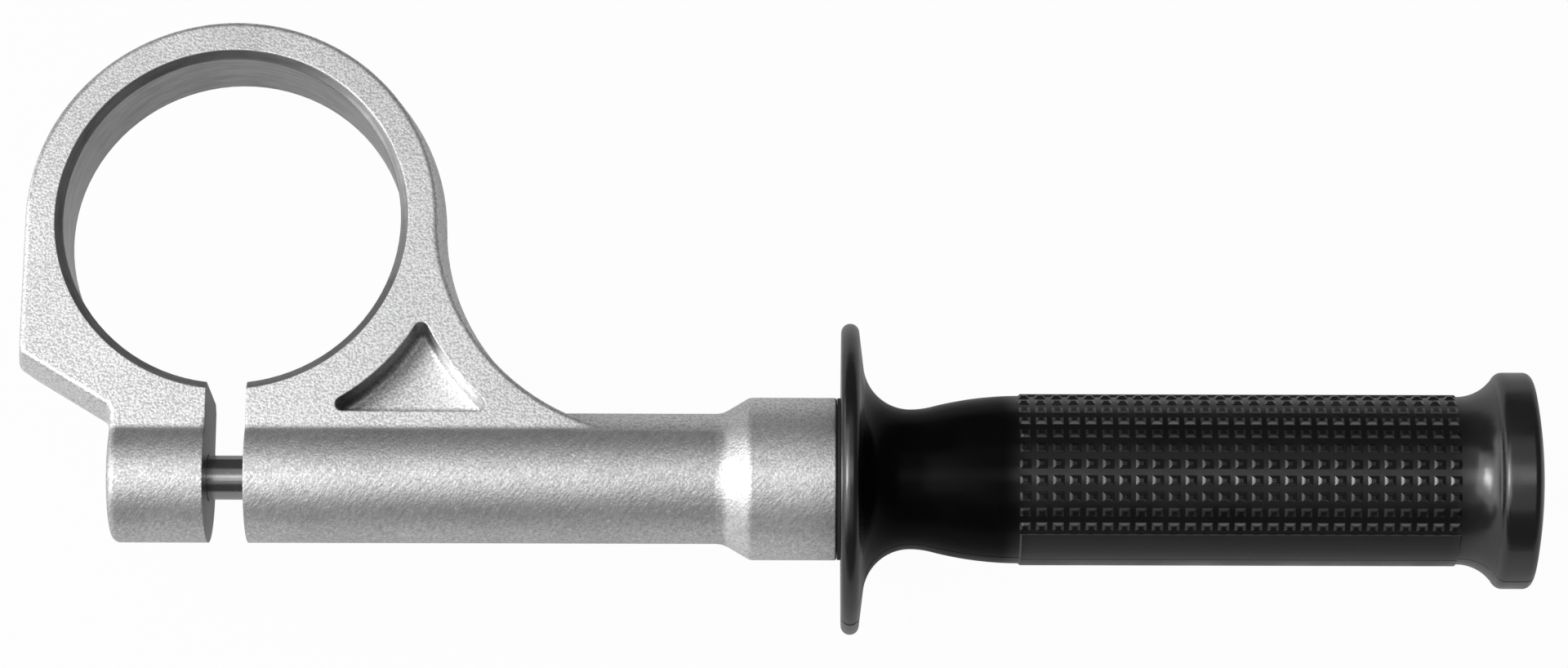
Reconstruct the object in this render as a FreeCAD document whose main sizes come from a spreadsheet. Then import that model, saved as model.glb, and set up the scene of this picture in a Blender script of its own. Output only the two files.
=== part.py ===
import FreeCAD, Part

import math
import os

import Sketcher

# A side handle for a power tool. The origin is the centre of the collar bore, half-way through
# the clamp plate. +X runs along the handle towards its free end, +Y from the handle's axis
# towards the clamp ring, and +Z along the bore. Sizes are in millimetres and degrees.
SIZES = {
    # clamp ring and plate, measured on the plate's mid-plane
    "CollarRadius": 30.0,
    "RingRadius": 37.75,
    "PlateThickness": 18.5,
    "EdgeDraft": 7.5,
    "EdgeRound": 0.9,
    "BoreChamfer": 1.4,
    "ShoulderReach": 37.95,
    "ShoulderDrop": 25.3,
    "ShoulderRound": 2.5,
    "NeckReach": 21.55,
    "NeckDrop": 35.3,
    "NeckRound": 1.8,
    "WebCentreReach": 76.5,
    "WebCentreRise": 0.7,
    # slit that lets the ring close
    "SlitLeft": 3.55,
    "SlitRight": 3.55,
    # triangular pocket, the same on both faces
    "PocketRingRadius": 38.4,
    "PocketWebRadius": 46.05,
    "PocketDrop": 35.3,
    "PocketCorner": 1.3,
    "PocketDepth": 6.5,
    "PocketDraft": 3.0,
    "PocketFloorRound": 1.2,
    # lug, arm and boss, all round the handle's axis
    "AxisDrop": 45.2,
    "TubeRadius": 11.5,
    "LugReach": 20.5,
    "LugRound": 1.5,
    "ConeStart": 87.3,
    "ConeEnd": 92.1,
    "ConeHollowRound": 4.0,
    "ConeCrestRound": 2.0,
    "BossRadius": 14.35,
    "BossEnd": 107.5,
    "BossChamfer": 0.3,
    "BoltHoleRadius": 4.25,
    "RecessFlats": 13.3,
    "RecessDepth": 6.0,
    # clamp bolt
    "HeadFlats": 13.0,
    "HeadHeight": 5.3,
    "HeadChamfer": 0.7,
    "ShankRadius": 3.9,
    "ThreadRadius": 3.95,
    "ThreadLength": 28.0,
    "BoltEnd": 145.5,
    "BoltChamfer": 0.9,
    # thrust washer
    "WasherStart": 107.55,
    "WasherRadius": 14.3,
    "WasherHoleRadius": 4.2,
    "WasherThickness": 0.6,
    # nut insert moulded into the grip, measured from the grip's guard face
    "GuardFace": 108.2,
    "InsertFlats": 13.0,
    "InsertLength": 30.0,
    "InsertBoreRadius": 4.0,
    "InsertChamfer": 0.5,
    # grip, measured from its guard face
    "GripBoreRadius": 4.3,
    "GripBoreDepth": 46.0,
    "GuardRadius": 27.5,
    "RimRound": 1.6,
    "FlareRound": 8.3,
    "WaistReach": 12.2,
    "WaistRadius": 12.35,
    "WaistRound": 14.7,
    "BarrelStart": 31.4,
    "BarrelRadius": 14.8,
    "BarrelEnd": 108.6,
    "EndFlareRound": 7.8,
    "EndCrestRound": 1.8,
    "EndRadius": 19.1,
    "EndEdgeRound": 1.5,
    "DomeRadius": 84.0,
    "GripLength": 123.6,
    # smooth raised strips that follow the two parting lines of the grip's mould
    "PartingTurn": 8.0,
    "StripReach": 28.0,
    "StripRadius": 15.12,
    "StripRoot": 14.0,
    "StripStart": 31.2,
    "StripEnd": 110.8,
}

START, END, CENTRE = 1, 2, 3
ORIGIN = (-1, 1)
X_AXIS, Y_AXIS = -1, -2
NEAR = 0.05
CORNER_REACH = 2.0


def point(x, y):
    return FreeCAD.Vector(x, y, 0)


def polar(radius, angle):
    return radius * math.cos(math.radians(angle)), radius * math.sin(math.radians(angle))


def make_sheet(doc):
    """Spreadsheet with one aliased cell for each driving size."""
    sheet = doc.addObject("Spreadsheet::Sheet", "Sizes")
    for row, (alias, value) in enumerate(SIZES.items(), start=1):
        sheet.set(f"A{row}", alias)
        sheet.set(f"B{row}", str(value))
        sheet.setAlias(f"B{row}", alias)
    doc.recompute()
    return sheet


def make_body(doc, name, **placement):
    """Empty body, placed by expressions such as y="-Sizes.AxisDrop"."""
    body = doc.addObject("PartDesign::Body", name)
    body.Label = name
    for axis, expression in placement.items():
        body.setExpression(f"Placement.Base.{axis}", expression)
    return body


def origin_plane(body, role):
    return next(plane for plane in body.Origin.OriginFeatures if plane.Role == role)


def make_sketch(body, name, role="XY_Plane", offset=None):
    """Sketch on one of the body's origin planes, moved along its normal by an expression."""
    sketch = body.newObject("Sketcher::SketchObject", name)
    sketch.AttachmentSupport = [(origin_plane(body, role), "")]
    sketch.MapMode = "FlatFace"
    if offset is not None:
        sketch.setExpression("AttachmentOffset.Base.z", offset)
    return sketch


def add_line(sketch, start, end):
    return sketch.addGeometry(Part.LineSegment(point(*start), point(*end)))


def add_arc(sketch, centre, radius, first, last):
    """Arc drawn anticlockwise between two angles in degrees."""
    circle = Part.Circle(point(*centre), FreeCAD.Vector(0, 0, 1), radius)
    return sketch.addGeometry(Part.ArcOfCircle(circle, math.radians(first), math.radians(last)))


def constrain(sketch, kind, *where):
    return sketch.addConstraint(Sketcher.Constraint(kind, *where))


def fix(sketch, curve, end, x=None, y=None):
    """Tie a point's distances from the sketch's origin to expressions."""
    here = sketch.getPoint(curve, end)
    for kind, value, expression in (("DistanceX", here.x, x), ("DistanceY", here.y, y)):
        if expression is None:
            continue
        ends = (*ORIGIN, curve, end) if value > 0 else (curve, end, *ORIGIN)
        index = constrain(sketch, kind, *ends, abs(value))
        sketch.setExpression(f"Constraints[{index}]", expression)


def fix_radius(sketch, curve, expression):
    index = constrain(sketch, "Radius", curve, sketch.Geometry[curve].Radius)
    sketch.setExpression(f"Constraints[{index}]", expression)


def join(sketch, *joints):
    """Join curve ends, each given as (kind, curve, end, curve, end)."""
    for joint in joints:
        constrain(sketch, *joint)


def add_hexagon(sketch, flats, expression):
    """Hexagon about the sketch's origin, sized by the distance across its flats."""
    radius = flats / math.sqrt(3)
    corners = [polar(radius, 60 * turn) for turn in range(6)]
    sides = [add_line(sketch, corners[turn], corners[(turn + 1) % 6]) for turn in range(6)]
    circle = sketch.addGeometry(Part.Circle(point(0, 0), FreeCAD.Vector(0, 0, 1), radius), True)
    constrain(sketch, "Coincident", circle, CENTRE, *ORIGIN)
    for turn, side in enumerate(sides):
        constrain(sketch, "Coincident", side, END, sides[(turn + 1) % 6], START)
        constrain(sketch, "PointOnObject", side, START, circle)
        if turn:
            constrain(sketch, "Equal", sides[0], side)
    constrain(sketch, "PointOnObject", sides[0], START, X_AXIS)
    fix_radius(sketch, circle, f"{expression} / sqrt(3)")


def add_circle(sketch, radius, expression):
    circle = sketch.addGeometry(Part.Circle(point(0, 0), FreeCAD.Vector(0, 0, 1), radius))
    constrain(sketch, "Coincident", circle, CENTRE, *ORIGIN)
    fix_radius(sketch, circle, expression)


def add_rectangle(sketch, low, high, left, right, bottom, top):
    """Rectangle between two corners whose four sides are tied to expressions."""
    corners = [low, (high[0], low[1]), high, (low[0], high[1])]
    sides = [add_line(sketch, corners[turn], corners[(turn + 1) % 4]) for turn in range(4)]
    for turn, side in enumerate(sides):
        constrain(sketch, "Coincident", side, END, sides[(turn + 1) % 4], START)
        constrain(sketch, "Vertical" if turn % 2 else "Horizontal", side)
    fix(sketch, sides[0], START, left, bottom)
    fix(sketch, sides[2], START, right, top)


def add_feature(body, kind, name, profile, settings=None, expressions=None):
    """Sketch-based feature at the end of the body."""
    body.Document.recompute()
    feature = body.newObject(f"PartDesign::{kind}", name)
    feature.Profile = profile
    for key, value in (settings or {}).items():
        setattr(feature, key, value)
    for key, expression in (expressions or {}).items():
        feature.setExpression(key, expression)
    profile.Visibility = False
    body.Document.recompute()
    return feature


def dress_edges(body, kind, name, size, expression, chosen):
    """Fillet or chamfer on the edges of the body's tip that a test picks."""
    base = body.Tip
    edges = [f"Edge{index}" for index, edge in enumerate(base.Shape.Edges, start=1) if chosen(edge)]
    feature = body.newObject(f"PartDesign::{kind}", name)
    feature.Base = (base, edges)
    feature.setExpression(size, expression)
    body.Document.recompute()
    return feature


def is_circle(edge, radius, **centre):
    """Is the edge round, of this radius, with its centre at the given coordinates?"""
    if edge.Curve.TypeId != "Part::GeomCircle" or abs(edge.Curve.Radius - radius) > NEAR:
        return False
    return all(abs(getattr(edge.Curve.Center, axis) - value) < NEAR for axis, value in centre.items())


def lies_at(edge, **plane):
    """Do the edge's ends and middle all lie on the given coordinate planes?"""
    middle = edge.valueAt((edge.FirstParameter + edge.LastParameter) / 2)
    spots = [middle] + [vertex.Point for vertex in edge.Vertexes]
    return all(abs(abs(getattr(spot, axis)) - value) < NEAR for spot in spots for axis, value in plane.items())


def tangent_angle(reach, drop, radius):
    """Angle on a circle about the origin where the tangent from a point below it touches."""
    distance = math.hypot(reach, drop)
    return 180 + math.degrees(math.atan2(drop, reach) - math.acos(radius / distance))


def draw_plate(sketch, size):
    """Outline of ring, shoulder, neck and web, down to the handle's axis."""
    ring = size["RingRadius"]
    shoulder = (-size["ShoulderReach"], -size["ShoulderDrop"])
    neck = (-size["NeckReach"], -size["NeckDrop"])
    web_centre = (size["WebCentreReach"], size["WebCentreRise"])
    web_angle = math.degrees(math.atan2(web_centre[1], web_centre[0]))
    web = math.hypot(*web_centre) - ring
    left_angle = tangent_angle(size["ShoulderReach"], size["ShoulderDrop"], ring)
    left = polar(ring, left_angle)
    base = -size["AxisDrop"]
    arc = add_arc(sketch, (0, 0), ring, web_angle, left_angle)
    side = add_line(sketch, left, shoulder)
    slant = add_line(sketch, shoulder, neck)
    drop = add_line(sketch, neck, (neck[0], base))
    foot = add_line(sketch, (neck[0], base), (web_centre[0], base))
    rise = add_line(sketch, (web_centre[0], base), (web_centre[0], web_centre[1] - web))
    hollow = add_arc(sketch, web_centre, web, 180 + web_angle, 270)
    join(sketch, ("Coincident", arc, CENTRE, *ORIGIN), ("Tangent", arc, END, side, START),
         ("Coincident", side, END, slant, START), ("Coincident", slant, END, drop, START),
         ("Coincident", drop, END, foot, START), ("Coincident", foot, END, rise, START),
         ("Coincident", rise, END, hollow, END), ("Tangent", hollow, START, arc, START))
    for kind, curve in (("Vertical", drop), ("Horizontal", foot), ("Vertical", rise)):
        constrain(sketch, kind, curve)
    fix_radius(sketch, arc, "Sizes.RingRadius")
    fix(sketch, side, END, "Sizes.ShoulderReach", "Sizes.ShoulderDrop")
    fix(sketch, slant, END, "Sizes.NeckReach", "Sizes.NeckDrop")
    fix(sketch, foot, START, y="Sizes.AxisDrop")
    fix(sketch, hollow, CENTRE, "Sizes.WebCentreReach", "Sizes.WebCentreRise")
    fix(sketch, rise, END, x="Sizes.WebCentreReach")


def circle_crossing(near, near_radius, far, far_radius):
    """Lower crossing of two circles given by centre and radius."""
    apart = math.dist(near, far)
    along = (near_radius ** 2 - far_radius ** 2 + apart ** 2) / (2 * apart)
    across = math.sqrt(near_radius ** 2 - along ** 2)
    unit = ((far[0] - near[0]) / apart, (far[1] - near[1]) / apart)
    return near[0] + along * unit[0] + across * unit[1], near[1] + along * unit[1] - across * unit[0]


def draw_pocket(sketch, size):
    """Triangle between the ring, the web's hollow edge and the arm."""
    web_centre = (size["WebCentreReach"], size["WebCentreRise"])
    inner, outer = size["PocketRingRadius"], size["PocketWebRadius"]
    base = -size["PocketDrop"]
    apex = circle_crossing((0, 0), inner, web_centre, outer)
    left = (math.sqrt(inner ** 2 - base ** 2), base)
    right = (web_centre[0] - math.sqrt(outer ** 2 - (base - web_centre[1]) ** 2), base)

    def bearing(centre, spot):
        return math.degrees(math.atan2(spot[1] - centre[1], spot[0] - centre[0])) % 360

    ring_side = add_arc(sketch, (0, 0), inner, bearing((0, 0), left), bearing((0, 0), apex))
    web_side = add_arc(sketch, web_centre, outer, bearing(web_centre, apex), bearing(web_centre, right))
    floor = add_line(sketch, left, right)
    join(sketch, ("Coincident", ring_side, CENTRE, *ORIGIN),
         ("Coincident", ring_side, END, web_side, START),
         ("Coincident", web_side, END, floor, END), ("Coincident", floor, START, ring_side, START),
         ("Horizontal", floor))
    fix_radius(sketch, ring_side, "Sizes.PocketRingRadius")
    fix_radius(sketch, web_side, "Sizes.PocketWebRadius")
    fix(sketch, web_side, CENTRE, "Sizes.WebCentreReach", "Sizes.WebCentreRise")
    fix(sketch, floor, START, y="Sizes.PocketDrop")


def draw_arm(sketch, size):
    """Half section of lug, arm tube, cone and boss, on the handle's axis."""
    end, tube, boss = -size["LugReach"], size["TubeRadius"], size["BossRadius"]
    corner = size["LugRound"]
    face = add_line(sketch, (end, 0), (end, tube - corner))
    round_end = add_arc(sketch, (end + corner, tube - corner), corner, 90, 180)
    wall = add_line(sketch, (end + corner, tube), (size["ConeStart"], tube))
    cone = add_line(sketch, (size["ConeStart"], tube), (size["ConeEnd"], boss))
    crest = add_line(sketch, (size["ConeEnd"], boss), (size["BossEnd"], boss))
    seat = add_line(sketch, (size["BossEnd"], boss), (size["BossEnd"], 0))
    axis = add_line(sketch, (size["BossEnd"], 0), (end, 0))
    join(sketch, ("Tangent", face, END, round_end, END), ("Tangent", round_end, START, wall, START),
         ("Coincident", wall, END, cone, START), ("Coincident", cone, END, crest, START),
         ("Coincident", crest, END, seat, START), ("Coincident", seat, END, axis, START),
         ("Coincident", axis, END, face, START), ("PointOnObject", face, START, X_AXIS),
         ("Vertical", face), ("Horizontal", wall), ("Horizontal", crest), ("Vertical", seat),
         ("Horizontal", axis))
    fix_radius(sketch, round_end, "Sizes.LugRound")
    fix(sketch, face, START, x="Sizes.LugReach")
    fix(sketch, wall, END, "Sizes.ConeStart", "Sizes.TubeRadius")
    fix(sketch, cone, END, "Sizes.ConeEnd", "Sizes.BossRadius")
    fix(sketch, crest, END, x="Sizes.BossEnd")


def add_plate(body, size):
    """Drafted plate with rounded shoulder, neck corner and rims."""
    outline = make_sketch(body, "plate_outline")
    draw_plate(outline, size)
    add_feature(body, "Pad", "plate", outline, {"SideType": "Symmetric"},
                {"Length": "Sizes.PlateThickness", "TaperAngle": "-Sizes.EdgeDraft"})
    for name, reach, drop in (("shoulder", "ShoulderReach", "ShoulderDrop"), ("neck", "NeckReach", "NeckDrop")):
        corner = point(-size[reach], -size[drop])

        def at_corner(edge):
            ends = [vertex.Point for vertex in edge.Vertexes]
            return abs(ends[0].z - ends[-1].z) > 1 and all(
                (point(end.x, end.y) - corner).Length < CORNER_REACH for end in ends)

        dress_edges(body, "Fillet", f"{name}_round", "Radius", f"Sizes.{name.title()}Round", at_corner)
    base, half = -size["AxisDrop"], size["PlateThickness"] / 2
    last = size["WebCentreReach"]

    def on_rim(edge):
        middle = edge.valueAt((edge.FirstParameter + edge.LastParameter) / 2)
        inside_tube = middle.y < base + 1 or middle.x > last - 1
        return lies_at(edge, z=half) and not inside_tube

    dress_edges(body, "Fillet", "plate_rims", "Radius", "Sizes.EdgeRound", on_rim)


def add_arm(body, size):
    """Arm tube with its lug and boss, turned about the handle's axis."""
    section = make_sketch(body, "arm_section")
    section.setExpression("AttachmentOffset.Base.y", "-Sizes.AxisDrop")
    draw_arm(section, size)
    add_feature(body, "Revolution", "arm", section, {"ReferenceAxis": (section, ["H_Axis"]), "Angle": 360.0})
    dress_edges(body, "Fillet", "cone_hollow", "Radius", "Sizes.ConeHollowRound",
                lambda edge: is_circle(edge, size["TubeRadius"], x=size["ConeStart"]))
    dress_edges(body, "Fillet", "cone_crest", "Radius", "Sizes.ConeCrestRound",
                lambda edge: is_circle(edge, size["BossRadius"], x=size["ConeEnd"]))
    dress_edges(body, "Chamfer", "boss_edge", "Size", "Sizes.BossChamfer",
                lambda edge: is_circle(edge, size["BossRadius"], x=size["BossEnd"]))


def cut_collar(body, size):
    """Machined bore for the tool's collar, chamfered on both faces."""
    circle = make_sketch(body, "collar_circle")
    add_circle(circle, size["CollarRadius"], "Sizes.CollarRadius")
    add_feature(body, "Pocket", "collar_bore", circle, {"SideType": "Symmetric", "Type": "ThroughAll"})
    dress_edges(body, "Chamfer", "collar_chamfer", "Size", "Sizes.BoreChamfer",
                lambda edge: is_circle(edge, size["CollarRadius"], x=0, y=0))


def cut_pockets(body, size):
    """Blind triangular pocket on the front face, mirrored to the back."""
    triangle = make_sketch(body, "pocket_triangle", offset="Sizes.PlateThickness / 2")
    draw_pocket(triangle, size)
    pocket = add_feature(body, "Pocket", "front_pocket", triangle, {"Type": "Length"},
                         {"Length": "Sizes.PocketDepth", "TaperAngle": "-Sizes.PocketDraft"})
    mirror = body.newObject("PartDesign::Mirrored", "back_pocket")
    mirror.Originals = [pocket]
    mirror.MirrorPlane = (origin_plane(body, "XY_Plane"), [""])
    body.Tip = mirror
    body.Document.recompute()
    floor = size["PlateThickness"] / 2 - size["PocketDepth"]

    def is_corner(edge):
        heights = sorted(abs(vertex.Point.z) for vertex in edge.Vertexes)
        return abs(heights[0] - floor) < NEAR and abs(heights[-1] - size["PlateThickness"] / 2) < NEAR

    dress_edges(body, "Fillet", "pocket_corners", "Radius", "Sizes.PocketCorner", is_corner)
    dress_edges(body, "Fillet", "pocket_floors", "Radius", "Sizes.PocketFloorRound",
                lambda edge: lies_at(edge, z=floor))


def cut_bolt_way(body, size):
    """Hole for the bolt along the handle's axis, and the hexagonal recess for its head."""
    hole = make_sketch(body, "bolt_circle", "YZ_Plane")
    hole.setExpression("AttachmentOffset.Base.x", "-Sizes.AxisDrop")
    add_circle(hole, size["BoltHoleRadius"], "Sizes.BoltHoleRadius")
    add_feature(body, "Pocket", "bolt_hole", hole, {"SideType": "Symmetric", "Type": "ThroughAll"})
    hexagon = make_sketch(body, "recess_hexagon", "YZ_Plane", "-Sizes.LugReach")
    hexagon.setExpression("AttachmentOffset.Base.x", "-Sizes.AxisDrop")
    add_hexagon(hexagon, size["RecessFlats"], "Sizes.RecessFlats")
    add_feature(body, "Pocket", "head_recess", hexagon, {"Type": "Length", "Reversed": True},
                {"Length": "Sizes.RecessDepth"})


def cut_slit(body, size):
    """Sawn slit from the bore out through the tube."""
    slit = make_sketch(body, "slit_outline")
    bottom = size["AxisDrop"] + size["BossRadius"]
    add_rectangle(slit, (-size["SlitLeft"], -bottom), (size["SlitRight"], -size["CollarRadius"] / 2),
                  "Sizes.SlitLeft", "Sizes.SlitRight", "Sizes.AxisDrop + Sizes.BossRadius",
                  "Sizes.CollarRadius / 2")
    add_feature(body, "Pocket", "slit", slit, {"SideType": "Symmetric", "Type": "ThroughAll"})


def make_casting(doc, size):
    """One casting: split clamp ring, lug, gusset plate, arm tube and boss."""
    body = make_body(doc, "clamp_casting")
    add_plate(body, size)
    add_arm(body, size)
    cut_collar(body, size)
    cut_pockets(body, size)
    cut_bolt_way(body, size)
    cut_slit(body, size)
    return body


def make_bolt(doc, size):
    """Long hexagon bolt with its head in the lug and its threaded end in the grip's nut."""
    body = make_body(doc, "clamp_bolt", y="-Sizes.AxisDrop")
    hexagon = make_sketch(body, "head_hexagon", "YZ_Plane", "-Sizes.LugReach + Sizes.RecessDepth")
    add_hexagon(hexagon, size["HeadFlats"], "Sizes.HeadFlats")
    add_feature(body, "Pad", "head", hexagon, {"Reversed": True}, {"Length": "Sizes.HeadHeight"})
    under_head = -size["LugReach"] + size["RecessDepth"]
    for name, radius, end in (("shank", "ShankRadius", "Sizes.BoltEnd - Sizes.ThreadLength"),
                              ("thread", "ThreadRadius", "Sizes.BoltEnd")):
        start = "-Sizes.LugReach + Sizes.RecessDepth" if name == "shank" else "Sizes.BoltEnd - Sizes.ThreadLength"
        circle = make_sketch(body, f"{name}_circle", "YZ_Plane", start)
        add_circle(circle, size[radius], f"Sizes.{radius}")
        add_feature(body, "Pad", name, circle, None, {"Length": f"{end} - ({start})"})
    dress_edges(body, "Chamfer", "bolt_point", "Size", "Sizes.BoltChamfer",
                lambda edge: is_circle(edge, size["ThreadRadius"], x=size["BoltEnd"]))
    top = under_head - size["HeadHeight"]
    cone = make_sketch(body, "head_cone")
    reach, chamfer = size["HeadFlats"] / math.sqrt(3), size["HeadChamfer"]
    inner = reach - chamfer / math.tan(math.radians(30))
    corners = [(top, inner), (top + chamfer, reach), (top, reach)]
    sides = [add_line(cone, corners[turn], corners[(turn + 1) % 3]) for turn in range(3)]
    for turn, side in enumerate(sides):
        constrain(cone, "Coincident", side, END, sides[(turn + 1) % 3], START)
    constrain(cone, "Horizontal", sides[1])
    constrain(cone, "Vertical", sides[2])
    corner = "Sizes.HeadFlats / sqrt(3)"
    fix(cone, sides[2], START, "Sizes.LugReach - Sizes.RecessDepth + Sizes.HeadHeight", corner)
    fix(cone, sides[0], START, y=f"{corner} - Sizes.HeadChamfer * sqrt(3)")
    fix(cone, sides[1], START, x="Sizes.LugReach - Sizes.RecessDepth + Sizes.HeadHeight - Sizes.HeadChamfer")
    add_feature(body, "Groove", "head_bevel", cone, {"ReferenceAxis": (cone, ["H_Axis"]), "Angle": 360.0})
    return body


def make_washer(doc):
    """Flat thrust washer between boss and grip."""
    parts = []
    for name, radius in (("washer_disc", "WasherRadius"), ("washer_hole", "WasherHoleRadius")):
        cylinder = doc.addObject("Part::Cylinder", name)
        cylinder.setExpression("Radius", f"Sizes.{radius}")
        cylinder.setExpression("Height", "Sizes.WasherThickness")
        cylinder.Placement.Rotation = FreeCAD.Rotation(FreeCAD.Vector(0, 1, 0), 90)
        parts.append(cylinder)
    washer = doc.addObject("Part::Cut", "thrust_washer")
    washer.Label = "thrust_washer"
    washer.Base, washer.Tool = parts
    washer.setExpression("Placement.Base.x", "Sizes.WasherStart")
    washer.setExpression("Placement.Base.y", "-Sizes.AxisDrop")
    return washer


def make_insert(doc, size):
    """Long hexagon nut held in the moulding of the grip."""
    body = make_body(doc, "grip_insert", x="Sizes.GuardFace", y="-Sizes.AxisDrop")
    hexagon = make_sketch(body, "insert_hexagon", "YZ_Plane")
    add_hexagon(hexagon, size["InsertFlats"], "Sizes.InsertFlats")
    add_feature(body, "Pad", "insert_bar", hexagon, None, {"Length": "Sizes.InsertLength"})
    circle = make_sketch(body, "insert_circle", "YZ_Plane")
    add_circle(circle, size["InsertBoreRadius"], "Sizes.InsertBoreRadius")
    add_feature(body, "Pocket", "insert_bore", circle, {"SideType": "Symmetric", "Type": "ThroughAll"})
    dress_edges(body, "Chamfer", "insert_mouths", "Size", "Sizes.InsertChamfer",
                lambda edge: is_circle(edge, size["InsertBoreRadius"]))
    return body


def draw_grip(sketch, size):
    """Half section of the grip: guard, flare, waist, barrel and swollen end."""
    rim, guard = size["RimRound"], size["GuardRadius"]
    waist, waist_at = size["WaistRadius"], size["WaistReach"]
    barrel, barrel_at, barrel_end = size["BarrelRadius"], size["BarrelStart"], size["BarrelEnd"]
    flare_centre = (waist_at, waist + size["FlareRound"])
    rim_centre = (rim, guard - rim)
    between = math.dist(flare_centre, rim_centre)
    bearing = math.atan2(rim_centre[1] - flare_centre[1], rim_centre[0] - flare_centre[0])
    lean = math.degrees(bearing + math.acos((size["FlareRound"] + rim) / between))
    slope = 2 * math.degrees(math.atan2(barrel - waist, barrel_at - waist_at))
    shoulder = (barrel_at - waist_at) / math.sin(math.radians(slope)) - size["WaistRound"]
    end_flare, crest, end = size["EndFlareRound"], size["EndCrestRound"], size["EndRadius"]
    end_slope = math.degrees(math.acos(1 - (end - barrel) / (end_flare + crest)))
    crest_at = barrel_end + (end_flare + crest) * math.sin(math.radians(end_slope))
    edge, dome, length = size["EndEdgeRound"], size["DomeRadius"], size["GripLength"]
    dome_at = length - dome
    edge_at = dome_at + math.sqrt((dome - edge) ** 2 - (end - edge) ** 2)
    edge_bearing = math.degrees(math.atan2(end - edge, edge_at - dome_at))
    bore, depth = size["GripBoreRadius"], size["GripBoreDepth"]

    def on_arc(centre, radius, angle):
        x, y = polar(radius, angle)
        return centre[0] + x, centre[1] + y

    back = add_line(sketch, (0, bore), (0, guard - rim))
    rim_arc = add_arc(sketch, rim_centre, rim, lean - 180, 180)
    front = add_line(sketch, on_arc(rim_centre, rim, lean - 180),
                     on_arc(flare_centre, size["FlareRound"], lean))
    flare = add_arc(sketch, flare_centre, size["FlareRound"], lean, 270)
    hollow = add_arc(sketch, (waist_at, waist + size["WaistRound"]), size["WaistRound"], 270, 270 + slope)
    swell = add_arc(sketch, (barrel_at, barrel - shoulder), shoulder, 90, 90 + slope)
    wall = add_line(sketch, (barrel_at, barrel), (barrel_end, barrel))
    end_hollow = add_arc(sketch, (barrel_end, barrel + end_flare), end_flare, 270, 270 + end_slope)
    end_crest = add_arc(sketch, (crest_at, end - crest), crest, 90, 90 + end_slope)
    band = add_line(sketch, (crest_at, end), (edge_at, end))
    edge_arc = add_arc(sketch, (edge_at, end - edge), edge, edge_bearing, 90)
    dome_arc = add_arc(sketch, (dome_at, 0), dome, 0, edge_bearing)
    axis = add_line(sketch, (length, 0), (depth, 0))
    blind = add_line(sketch, (depth, 0), (depth, bore))
    bore_wall = add_line(sketch, (depth, bore), (0, bore))
    join(sketch, ("Tangent", back, END, rim_arc, END), ("Tangent", rim_arc, START, front, START),
         ("Tangent", front, END, flare, START), ("Tangent", flare, END, hollow, START),
         ("Tangent", hollow, END, swell, END), ("Tangent", swell, START, wall, START),
         ("Tangent", wall, END, end_hollow, START), ("Tangent", end_hollow, END, end_crest, END),
         ("Tangent", end_crest, START, band, START), ("Tangent", band, END, edge_arc, END),
         ("Tangent", edge_arc, START, dome_arc, END), ("Coincident", dome_arc, START, axis, START),
         ("Coincident", axis, END, blind, START), ("Coincident", blind, END, bore_wall, START),
         ("Coincident", bore_wall, END, back, START), ("PointOnObject", back, START, Y_AXIS),
         ("Vertical", back), ("Horizontal", wall), ("Horizontal", band),
         ("PointOnObject", dome_arc, CENTRE, X_AXIS), ("PointOnObject", dome_arc, START, X_AXIS),
         ("Horizontal", axis), ("Vertical", blind), ("Horizontal", bore_wall))
    for curve, radius in ((rim_arc, "RimRound"), (flare, "FlareRound"), (hollow, "WaistRound"),
                          (end_hollow, "EndFlareRound"), (end_crest, "EndCrestRound"),
                          (edge_arc, "EndEdgeRound"), (dome_arc, "DomeRadius")):
        fix_radius(sketch, curve, f"Sizes.{radius}")
    fix(sketch, rim_arc, CENTRE, y="Sizes.GuardRadius - Sizes.RimRound")
    fix(sketch, flare, CENTRE, x="Sizes.WaistReach")
    fix(sketch, flare, END, "Sizes.WaistReach", "Sizes.WaistRadius")
    fix(sketch, wall, START, "Sizes.BarrelStart", "Sizes.BarrelRadius")
    fix(sketch, wall, END, x="Sizes.BarrelEnd")
    fix(sketch, band, START, y="Sizes.EndRadius")
    fix(sketch, axis, START, x="Sizes.GripLength")
    fix(sketch, blind, END, "Sizes.GripBoreDepth", "Sizes.GripBoreRadius")


def draw_strips(sketch, size):
    """Cross sections of the two strips, which stand opposite each other on the barrel."""
    reach, turn = size["StripReach"], size["PartingTurn"]
    for middle in (-turn, 180 - turn):
        first, last = middle - reach, middle + reach
        outer = add_arc(sketch, (0, 0), size["StripRadius"], first, last)
        inner = add_arc(sketch, (0, 0), size["StripRoot"], first, last)
        sides = [add_line(sketch, polar(size["StripRoot"], angle), polar(size["StripRadius"], angle))
                 for angle in (first, last)]
        join(sketch, ("Coincident", outer, CENTRE, *ORIGIN), ("Coincident", inner, CENTRE, *ORIGIN))
        for side, end in zip(sides, (START, END)):
            join(sketch, ("Coincident", side, START, inner, end), ("Coincident", side, END, outer, end),
                 ("PointOnObject", *ORIGIN, side))
        fix_radius(sketch, outer, "Sizes.StripRadius")
        fix_radius(sketch, inner, "Sizes.StripRoot")
        fix(sketch, outer, START, y="Sizes.StripRadius * sin((Sizes.StripReach + Sizes.PartingTurn) * 1 deg)")
        fix(sketch, outer, END, y="Sizes.StripRadius * sin((Sizes.StripReach - Sizes.PartingTurn) * 1 deg)")


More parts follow.
